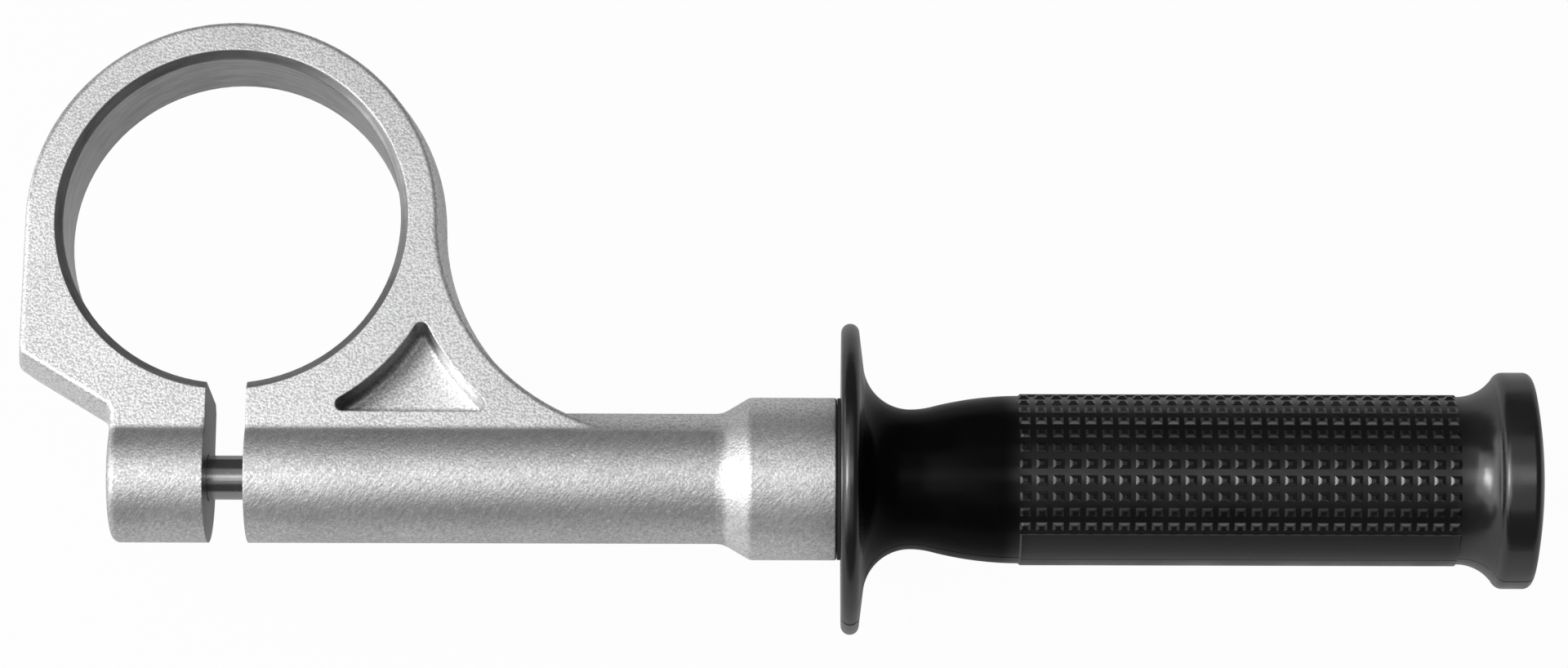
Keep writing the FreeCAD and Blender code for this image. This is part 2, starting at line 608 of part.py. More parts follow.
def make_grip(doc, size):
    """Moulded grip with its round guard, its parting strips and the seat of the nut insert."""
    body = make_body(doc, "grip", x="Sizes.GuardFace", y="-Sizes.AxisDrop")
    section = make_sketch(body, "grip_section")
    draw_grip(section, size)
    add_feature(body, "Revolution", "moulding", section, {"ReferenceAxis": (section, ["H_Axis"]), "Angle": 360.0})
    strips = make_sketch(body, "strip_sections", "YZ_Plane", "Sizes.StripStart")
    draw_strips(strips, size)
    add_feature(body, "Pad", "parting_strips", strips, None, {"Length": "Sizes.StripEnd - Sizes.StripStart"})
    seat = make_sketch(body, "seat_hexagon", "YZ_Plane")
    add_hexagon(seat, size["InsertFlats"], "Sizes.InsertFlats")
    add_feature(body, "Pocket", "insert_seat", seat, {"Type": "Length", "Reversed": True},
                {"Length": "Sizes.InsertLength"})
    return body


def check(doc, parts):
    """Stop at a failed object or a bad solid before anything is written."""
    for item in doc.Objects:
        if {"Invalid", "Error"} & set(item.State):
            raise RuntimeError(f"{item.Label} failed: {item.State}")
    for part in parts:
        shape = part.Shape
        if shape.isNull() or not shape.isValid() or len(shape.Solids) < 1:
            raise RuntimeError(f"{part.Label} has no valid solid")


def main():
    doc = FreeCAD.newDocument("SideHandle")
    make_sheet(doc)
    parts = [make_casting(doc, SIZES), make_bolt(doc, SIZES), make_washer(doc),
             make_insert(doc, SIZES), make_grip(doc, SIZES)]
    doc.recompute()
    check(doc, parts)
    os.makedirs("parts", exist_ok=True)
    for part in parts:
        part.Shape.exportStep(f"parts/{part.Label}.step")


main()
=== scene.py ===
import math

import bpy
from mathutils import Matrix, Vector


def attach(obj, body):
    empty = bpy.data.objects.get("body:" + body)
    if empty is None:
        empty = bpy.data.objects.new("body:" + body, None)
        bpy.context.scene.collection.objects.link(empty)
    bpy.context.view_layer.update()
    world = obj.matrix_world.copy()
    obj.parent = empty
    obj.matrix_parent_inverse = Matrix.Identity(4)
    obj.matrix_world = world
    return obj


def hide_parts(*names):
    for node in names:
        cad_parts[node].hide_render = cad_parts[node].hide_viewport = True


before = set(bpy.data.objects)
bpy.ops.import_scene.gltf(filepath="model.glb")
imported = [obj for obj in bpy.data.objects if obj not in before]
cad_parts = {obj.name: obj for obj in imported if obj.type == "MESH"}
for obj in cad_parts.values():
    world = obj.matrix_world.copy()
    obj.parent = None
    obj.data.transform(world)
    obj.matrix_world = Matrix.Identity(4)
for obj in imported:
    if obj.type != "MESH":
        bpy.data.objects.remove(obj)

# A side handle for a power tool, in the frame of its CAD model: the origin is the centre of the
# collar bore, +X runs along the handle to its free end, and +Z along the bore. The handle lies
# with its bore upright. Sizes are in millimetres and degrees until a mesh is made from them.
MM = 0.001

AXIS_DROP = 45.2
GUARD_FACE = 108.2

# camera, fitted to the ring's bore and to the ends of the arm and the grip
VIEW_TARGET = (98.06, -18.61, 0.0)
VIEW_DISTANCE = 1000.0
VIEW_YAW = 0.3
VIEW_TILT = 15.446
VIEW_ROLL = 0.217
VIEW_LENS = 129.0
VIEW_SENSOR = 36.0

# grip, measured from its guard face
GRIP_BORE_RADIUS = 4.3
GRIP_BORE_DEPTH = 46.0
SEAT_FLATS = 13.0
SEAT_DEPTH = 30.0
FACE_RINGS = (13.0, 20.0)
GUARD_RADIUS = 27.48
RIM_ROUND = 1.6
FLARE_ROUND = 8.3
WAIST_REACH = 12.2
WAIST_RADIUS = 12.35
WAIST_ROUND = 14.7
BARREL_START = 31.4
BARREL_RADIUS = 14.8
BARREL_END = 108.6
END_FLARE_ROUND = 7.8
END_CREST_ROUND = 1.8
END_RADIUS = 19.1
END_EDGE_ROUND = 1.5
DOME_RADIUS = 84.0
GRIP_LENGTH = 123.6
END_GROOVE_AT = 114.8
END_GROOVE_REACH = 0.22
END_GROOVE_DEPTH = 0.1

# the grip's mould parts along two lines, each with a smooth raised strip
MOULD_TURN = 82.0
PARTING_TURNS = (-8.0, 172.0)
STRIP_REACH = 28.0
STRIP_EDGE = 0.7
STRIP_RADIUS = 15.12
STRIP_START = 31.2
STRIP_END = 108.4
STRIP_RISE = 0.4
PARTING_REACH = 0.55
PARTING_DEPTH = 0.15

# rows and columns of small four-sided studs between the strips
STUD_FIRST = 32.1
STUD_PITCH = 2.8846
STUD_COLUMNS = 27
STUD_ROW_TURN = 11.1
STUD_ROWS = 11
STUD_BASE = (1.02, 0.86)
STUD_TOP = (0.38, 0.32)
STUD_HEIGHT = 0.42
STUDDED_FROM = STUD_FIRST - 2.0

# steps of the grip's round stretches, and how many points of the guard's face stay plain circles
RIM_STEPS = 14
FLARE_STEPS = 18
WAIST_STEPS = 22
END_FLARE_STEPS = 14
END_EDGE_STEPS = 8
DOME_STEPS = 14
DOME_TIP_TURN = 0.35
FACE_POINTS = 4

# turn between plain lines of the grip's mesh, what counts as one line and as level, and the
# sharpest turn that is still shaded smooth
SMOOTH_STEP = 4.0
MERGE_WITHIN = 0.01
LEVEL_WITHIN = 0.05
SHARP_TURN = 24.0

# clamp bolt
HEAD_TOP = -19.8
HEAD_HEIGHT = 5.3
HEAD_FLATS = 13.0
HEAD_CHAMFER = 0.7
HEAD_STEPS = 5
NECK_ROUND = 0.3
SHANK_RADIUS = 3.9
THREAD_START = 117.5
THREAD_RUN_OUT = 0.8
THREAD_ROOT = 3.3
THREAD_CREST = 3.95
THREAD_PITCH = 1.25
BOLT_END = 145.5
BOLT_CHAMFER = 0.9
BOLT_TURN_STEP = 5.0

# ridge of the bolt's thread: where it starts, the half widths of its foot and crest, how far it
# sinks into the core, the share of its height that it keeps at its ends, and steps to a turn
RIDGE_START = THREAD_START + 1.2
RIDGE_FOOT = 0.55
RIDGE_CREST = 0.1
RIDGE_SINK = 0.1
RIDGE_LEAST = 0.02
RIDGE_STEPS = 40
RIDGE_SHARP_TURN = 35.0

# parts of the casting that differ in finish, with the cone's band of painted highlight, the pocket's painted
# shade and light, and the softness of its edges
ARM_EDGE = -38.8
ARM_FADE = 0.4
CONE_START = 88.0
CONE_START_FADE = (-0.8, 0.4)
CONE_END = 92.2
CONE_END_FADE = 0.3
CREASE = -38.4
WEB_CENTRE = (76.5, 0.7)
WEB_WALL_RADIUS = 42.0
POCKET_ACROSS = (8.0, 60.0)
POCKET_ALONG = (-36.5, -18.5)
POCKET_EDGE = 9.0
POCKET_FOOT = -33.0
POCKET_FOOT_FADE = 0.5
POCKET_DARK_RADIUS = 38.3
POCKET_LIGHT_RADIUS = 45.0
POCKET_WHITE_RADIUS = 51.0
EDGE_SOFTNESS = 0.4
EDGE_SAMPLES = 6
CREASE_SOFTNESS = 1.3
CREASE_FADE = (0.8, 2.4)
BORE_EDGE_RADIUS = 31.42
SLIT_HALF = 3.57
BOSS_FACE = 107.2

# finishes: a noise has a scale, a detail and a roughness, a tone is a grey from 0 to 1, a shade
# multiplies one, and a relief has a height in millimetres and a strength
NOISE_RANGE = (0.3, 0.7)
GRAIN_RANGE = (0.36, 0.6)
GLOSS_RANGE = (0.35, 0.65)
STAIN_RANGE = (0.35, 0.6)
SPECK_RANGE = (0.64, 0.7)

# blasted skin of the casting
BLAST_GRAIN = (2250.0, 2.0, 0.55)
BLAST_CLOUD = (70.0, 2.0, 0.5)
BLAST_TONES = (0.59, 0.92)
BLAST_SHADES = (0.95, 1.04)
BLAST_ROUGHNESS = (0.56, 0.46)
BLAST_BLUE = 1.005
BLAST_RELIEF = (0.12, 0.6)

# smoother skin of arm, cone and boss, with slanting strokes and bright specks, and a painted highlight along
# the cone
ARM_TONE = 0.78
ARM_EVENNESS = 0.45
ARM_SHADE = 0.79
BOSS_SHADE = 0.93
CONE_PAINTED_HIGHLIGHT = 1.08
STROKES = (1.0, 3.0, 0.65)
STROKE_SLANT = -48.0
STROKE_STRETCH = (420.0, 1900.0, 900.0)
STROKE_SHADES = (0.88, 1.12)
SPECKS = (1700.0, 1.0, 0.4)
SPECK_LIGHT = 0.16

# painted shade in the pocket's sharp corners and down its foot, and painted light towards its middle
POCKET_CORNER_PAINTED_SHADE = 0.35
POCKET_MIDDLE_PAINTED_LIGHT = 1.2
POCKET_FOOT_PAINTED_SHADE = 0.6

# turned and sawn metal of bore, boss and slit, with painted shade on the slit's walls
TURNING = (1.0, 3.0, 0.6)
TURNING_STRETCH = (60.0, 60.0, 3000.0)
TURNED_TONES = (0.34, 0.48)
TURNED_ROUGHNESS = 0.34
TURNED_RELIEF = (0.01, 0.5)
STAINS = (160.0, 4.0, 0.65)
STAIN_STRETCH = (1.0, 1.0, 2.5)
STAIN_SHADES = (0.84, 1.04)
SLIT_PAINTED_SHADE = 0.6

# steels: tone and roughness of each, and the tool marks round the handle's axis
BOLT_STEEL = (0.34, 0.18)
INSERT_STEEL = (0.6, 0.32)
STEEL_SHADE = 0.9
STEEL_CLOUD = (260.0, 2.0, 0.5)
STEEL_MARKS = (1.0, 2.0, 0.6)
STEEL_STRETCH = (9000.0, 120.0, 120.0)
STEEL_ROUGHER = (-0.05, 0.07)
STEEL_RELIEF = (0.006, 0.6)

# matt fibre of the washer
FIBRE_WEAVE = (1400.0, 3.0, 0.6)
FIBRE_STRETCH = (1.0, 1.0, 3.0)
FIBRE_TONES = (0.008, 0.03)
FIBRE_ROUGHNESS = (0.7, 0.85)
FIBRE_RELIEF = (0.05, 0.5)

# black plastic: its sheen changes at stations past the guard face, and the studs' flanks, which
# lie between two radii, are worn glossy
PLASTIC_GRAIN = (2600.0, 2.0, 0.5)
PLASTIC_CLOUD = (120.0, 3.0, 0.55)
PLASTIC_TONES = (0.0015, 0.004)
PLASTIC_ROUGHNESS = (0.2, 0.32)
PLASTIC_RELIEF = (0.006, 0.4)
RIM_SHEEN = ((2.4, 4.4), (0.95, 0.05))
STUD_SHEEN = ((28.0, 34.0), (0.0, 0.4))
END_SHEEN = ((106.0, 112.0), (0.0, 0.6))
WORN_SHEEN = 1.0
WORN_RADII = (14.86, 15.09)
WORN_ALONG = (139.0, 217.0)

# floor, and how much of its own white it shows to each kind of ray
FLOOR_SIZE = 3000.0
FLOOR_GAP = 0.1
FLOOR_GREY = 0.6
FLOOR_WHITE = {"Is Camera Ray": 0.97, "Is Glossy Ray": 0.15, "Is Transmission Ray": 0.15}

# soft lights: place, aim, level width and height, and brightness. A large one hangs over the
# handle with a narrow one in it, a brighter one with a small core hangs on its left, and the
# last one stands low on the left.
STUDIO_MIDDLE = (98.0, -18.0, 0.0)
SOFTBOXES = {
    "front_softbox": ((98.0, -125.0, 740.0), STUDIO_MIDDLE, (900.0, 1250.0), 0.36),
    "strip_softbox": ((98.0, -145.0, 725.0), STUDIO_MIDDLE, (900.0, 180.0), 1.2),
    "key_softbox": ((-442.0, -140.0, 521.0), STUDIO_MIDDLE, (800.0, 860.0), 1.24),
    "core_softbox": ((-433.0, -138.0, 512.0), STUDIO_MIDDLE, (200.0, 290.0), 10.0),
    "side_softbox": ((-740.0, 40.0, 140.0), (40.0, 0.0, 60.0), (900.0, 300.0), 1.3),
}
WORLD_LEVEL = 0.12


def on_arc(centre, radius, first, last, count):
    """Points along an arc between two angles in degrees, both ends included."""
    turns = [math.radians(first + (last - first) * step / count) for step in range(count + 1)]
    return [(centre[0] + radius * math.cos(turn), centre[1] + radius * math.sin(turn)) for turn in turns]


def guard_points():
    """Profile of guard, rim and flare, from the guard's flat face to the waist."""
    flare_centre = (WAIST_REACH, WAIST_RADIUS + FLARE_ROUND)
    rim_centre = (RIM_ROUND, GUARD_RADIUS - RIM_ROUND)
    between = math.dist(flare_centre, rim_centre)
    bearing = math.atan2(rim_centre[1] - flare_centre[1], rim_centre[0] - flare_centre[0])
    lean = math.degrees(bearing + math.acos((FLARE_ROUND + RIM_ROUND) / between))
    rim = on_arc(rim_centre, RIM_ROUND, 180, lean - 180, RIM_STEPS)
    flare = on_arc(flare_centre, FLARE_ROUND, lean, 270, FLARE_STEPS)
    return [(0.0, radius) for radius in FACE_RINGS] + rim + flare


def barrel_radius(station):
    """Radius of waist, barrel and end flare at a distance from the guard face."""
    slope = 2 * math.atan2(BARREL_RADIUS - WAIST_RADIUS, BARREL_START - WAIST_REACH)
    shoulder = (BARREL_START - WAIST_REACH) / math.sin(slope) - WAIST_ROUND
    turning = WAIST_REACH + WAIST_ROUND * math.sin(slope)
    if station < turning:
        return WAIST_RADIUS + WAIST_ROUND - math.sqrt(WAIST_ROUND ** 2 - (station - WAIST_REACH) ** 2)
    if station < BARREL_START:
        return BARREL_RADIUS - shoulder + math.sqrt(shoulder ** 2 - (BARREL_START - station) ** 2)
    if station <= BARREL_END:
        return BARREL_RADIUS
    return BARREL_RADIUS + END_FLARE_ROUND - math.sqrt(END_FLARE_ROUND ** 2 - (station - BARREL_END) ** 2)


def end_slope():
    """Steepest turn of the end flare, where its crest takes over, in radians."""
    return math.acos(1 - (END_RADIUS - BARREL_RADIUS) / (END_FLARE_ROUND + END_CREST_ROUND))


def end_points():
    """Profile of the swollen end, from the top of its flare to the middle of the dome."""
    slope = end_slope()
    crest_at = BARREL_END + (END_FLARE_ROUND + END_CREST_ROUND) * math.sin(slope)
    crest_centre = (crest_at, END_RADIUS - END_CREST_ROUND)
    crest = on_arc(crest_centre, END_CREST_ROUND, 90 + math.degrees(slope), 90, END_EDGE_STEPS)
    dome_at = GRIP_LENGTH - DOME_RADIUS
    edge_at = dome_at + math.sqrt((DOME_RADIUS - END_EDGE_ROUND) ** 2 - (END_RADIUS - END_EDGE_ROUND) ** 2)
    bearing = math.degrees(math.atan2(END_RADIUS - END_EDGE_ROUND, edge_at - dome_at))
    edge = on_arc((edge_at, END_RADIUS - END_EDGE_ROUND), END_EDGE_ROUND, 90, bearing, END_EDGE_STEPS)
    dome = on_arc((dome_at, 0), DOME_RADIUS, bearing, DOME_TIP_TURN, DOME_STEPS)
    return crest + edge + dome


def stud_columns():
    return [STUD_FIRST + STUD_PITCH * column for column in range(STUD_COLUMNS)]


def stud_rows():
    """Turn of every row of studs, in both halves of the mould."""
    middle = (STUD_ROWS - 1) / 2
    return [side + STUD_ROW_TURN * (row - middle) for side in (MOULD_TURN, MOULD_TURN + 180)
            for row in range(STUD_ROWS)]


def turn_apart(first, second):
    return abs((first - second + 180) % 360 - 180)


def merged(values, before_first):
    """Sorted values without those that nearly repeat the one before."""
    values = sorted(values)
    return [value for value, before in zip(values, [before_first] + values) if value - before > MERGE_WITHIN]


def grip_stations():
    """Stations along waist, barrel and end flare, with a line at every stud's foot and top."""
    slope = math.degrees(end_slope())
    flare = [BARREL_END + END_FLARE_ROUND * math.sin(math.radians(slope * step / END_FLARE_STEPS))
             for step in range(1, END_FLARE_STEPS)]
    waist = [WAIST_REACH + (STRIP_START - WAIST_REACH) * step / WAIST_STEPS for step in range(1, WAIST_STEPS)]
    reaches = (STUD_BASE[0], STUD_TOP[0])
    studs = [at + side * reach for at in stud_columns() for side in (-1, 1) for reach in reaches]
    strips = [STRIP_START, STRIP_START + STRIP_RISE, STRIP_END - STRIP_RISE, STRIP_END]
    groove = [END_GROOVE_AT + side * END_GROOVE_REACH for side in (-1, 0, 1)]
    return merged(waist + studs + strips + flare + groove + [BARREL_END], 0.0)


def grip_turns():
    """Turns about the grip's axis, with a line at every stud's foot and top and every strip's edge."""
    reaches = [math.degrees(size / BARREL_RADIUS) for size in (STUD_BASE[1], STUD_TOP[1])]
    studs = [row + side * reach for row in stud_rows() for side in (-1, 1) for reach in reaches]
    steps = [STRIP_REACH + STRIP_EDGE, STRIP_REACH, PARTING_REACH, PARTING_REACH / 3]
    steps += [SMOOTH_STEP * step for step in range(1, int(STRIP_REACH / SMOOTH_STEP))]
    strips = [middle + side * step for middle in PARTING_TURNS for side in (-1, 1) for step in steps]
    corners = [60.0 * corner for corner in range(6)]
    return merged([turn % 360 for turn in studs + strips + corners], -1.0)


def ramp(distance, top, foot):
    """1 up to the top's half width, falling to 0 at the foot's half width."""
    return min(1.0, max(0.0, (foot - distance) / (foot - top)))


def stud_lift(station, turn):
    """How far the studs raise the barrel's surface at one place."""
    if not STUDDED_FROM < station < BARREL_END:
        return 0.0
    along = min(abs(station - at) for at in stud_columns())
    around = min(turn_apart(turn, row) for row in stud_rows())
    foot, top = (math.degrees(size / BARREL_RADIUS) for size in (STUD_BASE[1], STUD_TOP[1]))
    return STUD_HEIGHT * min(ramp(along, STUD_TOP[0], STUD_BASE[0]), ramp(around, top, foot))


def grip_lift(station, turn, radius):
    """Surface radius with studs, strips, the fine lines where the mould parts and the end's seam."""
    apart = min(turn_apart(turn, middle) for middle in PARTING_TURNS)
    if STRIP_START < station < STRIP_END and apart < STRIP_REACH + MERGE_WITHIN:
        radius = max(radius, STRIP_RADIUS)
    if apart < PARTING_REACH / 2:
        radius -= PARTING_DEPTH
    if abs(station - END_GROOVE_AT) < END_GROOVE_REACH / 2:
        radius -= END_GROOVE_DEPTH
    return radius + stud_lift(station, turn)


def hexagon_radius(flats, turn):
    return flats / 2 / math.cos(math.radians(turn % 60 - 30))


def circle_ring(station, radius, turns):
    return [(station, radius, turn) for turn in turns]


def hexagon_ring(station, flats, turns):
    return [(station, hexagon_radius(flats, turn), turn) for turn in turns]


def place(start, ring_point):
    """Point from its distance along the handle's axis, its radius and its turn, in metres."""
    station, radius, turn = ring_point
    y = radius * math.cos(math.radians(turn)) - AXIS_DROP
    z = radius * math.sin(math.radians(turn))
    return ((start + station) * MM, y * MM, z * MM)


def turned_mesh(start, rings, first_tip, last_tip, split):
    """Vertices and faces of a closed turned body. split tells whether a cell is two triangles."""
    vertices = [place(start, spot) for ring in rings for spot in ring]
    around = len(rings[0])
    faces = []
    for row in range(len(rings) - 1):
        near, far = rings[row], rings[row + 1]
        for column in range(around):
            beside = (column + 1) % around
            a, b = row * around + column, row * around + beside
            c, d = b + around, a + around
            way = split(near[column], near[beside], far[beside], far[column])
            if way == 0:
                faces.append((a, b, c, d))
            elif way == 1:
                faces += [(a, b, c), (a, c, d)]
            else:
                faces += [(a, b, d), (b, c, d)]
    for tip, row, swap in ((first_tip, 0, True), (last_tip, len(rings) - 1, False)):
        vertices.append(place(start, (tip, 0.0, 0.0)))
        centre = len(vertices) - 1
        for column in range(around):
            a, b = row * around + column, row * around + (column + 1) % around
            faces.append((b, a, centre) if swap else (a, b, centre))
    return vertices, faces


def never_split(*corners):
    return 0


def stud_split(a, b, c, d):
    """Split a cell along the diagonal that joins its higher corners, if the cell isn't level."""
    heights = [spot[1] for spot in (a, b, c, d)]
    if max(heights) - min(heights) < LEVEL_WITHIN or not STUDDED_FROM < a[0] < BARREL_END:
        return 0
    return 1 if heights[0] + heights[2] > heights[1] + heights[3] else 2


def add_piece(name, vertices, faces, body, node, material, sharp=SHARP_TURN):
    """Smooth-shaded mesh that rides on a body and stands for a CAD node."""
    mesh = bpy.data.meshes.new(name)
    mesh.from_pydata(vertices, [], faces)
    mesh.validate()
    mesh.polygons.foreach_set("use_smooth", [True] * len(mesh.polygons))
    mesh.set_sharp_from_angle(angle=math.radians(sharp))
    mesh.materials.append(material)
    piece = bpy.data.objects.new(name, mesh)
    bpy.context.scene.collection.objects.link(piece)
    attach(piece, body)
    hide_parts(node)
    return piece


def add_grip(material):
    """Moulded grip with its guard, studs, strips and the seat of its nut insert."""
    turns = grip_turns()
    rings = [circle_ring(station, GRIP_BORE_RADIUS, turns) for station in (GRIP_BORE_DEPTH, SEAT_DEPTH)]
    rings += [hexagon_ring(station, SEAT_FLATS, turns) for station in (SEAT_DEPTH, 0.0)]
    guard = guard_points()
    rings += [circle_ring(station, radius, turns) for station, radius in guard[:FACE_POINTS]]
    outside = guard[FACE_POINTS:]
    outside += [(station, barrel_radius(station)) for station in grip_stations()]
    outside += end_points()
    for station, radius in outside:
        rings.append([(station, grip_lift(station, turn, radius), turn) for turn in turns])
    vertices, faces = turned_mesh(GUARD_FACE, rings, GRIP_BORE_DEPTH, GRIP_LENGTH, stud_split)
    add_piece("grip_moulding", vertices, faces, "grip", "grip", material)


def head_ring(rise, turns):
    """Hexagon of the bolt's head, cut by the cone that bevels its corners."""
    corner = HEAD_FLATS / math.sqrt(3)
    cone = corner - (HEAD_CHAMFER - rise) * math.sqrt(3)
    return [(HEAD_TOP + rise, min(cone, hexagon_radius(HEAD_FLATS, turn)), turn) for turn in turns]


def add_bolt(material):
    """Hexagon head, shank and threaded core of the clamp bolt."""
    turns = [BOLT_TURN_STEP * step for step in range(int(360 / BOLT_TURN_STEP))]
    under_head = HEAD_TOP + HEAD_HEIGHT
    rings = [head_ring(HEAD_CHAMFER * step / HEAD_STEPS, turns) for step in range(HEAD_STEPS + 1)]
    rings.append(hexagon_ring(under_head, HEAD_FLATS, turns))
    profile = [(under_head, SHANK_RADIUS + NECK_ROUND), (under_head + NECK_ROUND, SHANK_RADIUS),
               (THREAD_START, SHANK_RADIUS), (THREAD_START + THREAD_RUN_OUT, THREAD_ROOT),
               (BOLT_END - BOLT_CHAMFER, THREAD_ROOT), (BOLT_END, THREAD_CREST - BOLT_CHAMFER)]
    rings += [circle_ring(station, radius, turns) for station, radius in profile]
    vertices, faces = turned_mesh(0.0, rings, HEAD_TOP, BOLT_END, never_split)
    add_piece("bolt_blank", vertices, faces, "clamp", "clamp_bolt", material)


def add_thread(material):
    """Right-handed ridge of the bolt's thread, wound round its core and fading at both ends."""
    length = BOLT_END - BOLT_CHAMFER - RIDGE_START
    steps = int(length / THREAD_PITCH * RIDGE_STEPS)
    vertices, faces = [], []
    for step in range(steps + 1):
        turn = 360.0 * step / RIDGE_STEPS
        middle = RIDGE_START + THREAD_PITCH * step / RIDGE_STEPS
        rise = min(1.0, step / RIDGE_STEPS, (steps - step) / RIDGE_STEPS)
        top = THREAD_ROOT + (THREAD_CREST - THREAD_ROOT) * max(rise, RIDGE_LEAST)
        foot = THREAD_ROOT - RIDGE_SINK
        section = [(middle - RIDGE_FOOT, foot), (middle - RIDGE_CREST, top),
                   (middle + RIDGE_CREST, top), (middle + RIDGE_FOOT, foot)]
        vertices += [place(0.0, (station, radius, turn)) for station, radius in section]
    for step in range(steps):
        for side in range(4):
            a, b = step * 4 + side, step * 4 + (side + 1) % 4
            faces.append((a, a + 4, b + 4, b))
    faces += [(0, 1, 2, 3), tuple(steps * 4 + corner for corner in (3, 2, 1, 0))]
    add_piece("bolt_thread", vertices, faces, "clamp", "clamp_bolt", material,
              sharp=RIDGE_SHARP_TURN)


class Shader:
    """Node material with one Principled shader, built socket by socket."""

    def __init__(self, name):
        self.material = bpy.data.materials.new(name)
        self.material.use_nodes = True
        self.tree = self.material.node_tree
        self.surface = self.tree.nodes["Principled BSDF"]
        self.spot = self.add("TexCoord").outputs["Object"]

    def add(self, kind, inputs=(), **settings):
        """Node whose inputs, given by index or name, are linked or set."""
        item = self.tree.nodes.new(f"ShaderNode{kind}")
        for key, value in settings.items():
            setattr(item, key, value)
        for key, value in dict(inputs).items():
            self.feed(item.inputs[key], value)
        return item

    def feed(self, socket, value):
        if isinstance(value, bpy.types.NodeSocket):
            self.tree.links.new(value, socket)
        else:
            socket.default_value = value

    def math(self, operation, first, second=0.0):
        return self.add("Math", {0: first, 1: second}, operation=operation).outputs[0]

    def times(self, first, *others):
        for other in others:
            first = self.math("MULTIPLY", first, other)
        return first

    def axes(self):
        """Coordinates in metres, in the CAD frame."""
        return self.add("SeparateXYZ", {0: self.spot}).outputs

    def stretch(self, vector, scale):
        return self.add("VectorMath", {0: vector, 1: scale}, operation="MULTIPLY").outputs[0]

    def length(self, vector):
        return self.add("VectorMath", {0: vector}, operation="LENGTH").outputs["Value"]

    def noise(self, vector, scale, detail, roughness):
        inputs = {"Vector": vector, "Scale": scale, "Detail": detail, "Roughness": roughness}
        return self.add("TexNoise", inputs).outputs[0]

    def span(self, value, low, high, to_low, to_high):
        """Value mapped smoothly from one range to another."""
        inputs = {0: value, 1: low, 2: high, 3: to_low, 4: to_high}
        return self.add("MapRange", inputs, interpolation_type="SMOOTHSTEP").outputs[0]

    def fade(self, value, low, high, to_low=0.0, to_high=1.0):
        """Distance in metres mapped smoothly from a range in millimetres to another range."""
        return self.span(value, low * MM, high * MM, to_low, to_high)

    def within(self, value, low, high):
        """1 where a distance in metres lies between two bounds in millimetres."""
        above = self.math("GREATER_THAN", value, low * MM)
        return self.times(above, self.math("LESS_THAN", value, high * MM))

    def mix(self, factor, first, second):
        inputs = {"Factor": factor, "A": first, "B": second}
        return self.add("Mix", inputs, data_type="FLOAT").outputs[0]

    def blend(self, factor, first, second):
        item = self.add("Mix", {0: factor}, data_type="RGBA")
        self.feed(item.inputs[6], first)
        self.feed(item.inputs[7], second)
        return item.outputs[2]

    def bump(self, height, distance, strength, normal=None):
        """Normal that follows a height. The distance is in millimetres."""
        inputs = {"Height": height, "Distance": distance * MM, "Strength": strength}
        item = self.add("Bump", inputs)
        if normal is not None:
            self.feed(item.inputs["Normal"], normal)
        return item.outputs[0]

    def finish(self, **inputs):
        for name, value in inputs.items():
            self.feed(self.surface.inputs[name.replace("_", " ")], value)
        return self.material


def grey(level):
    return (level, level, level, 1.0)


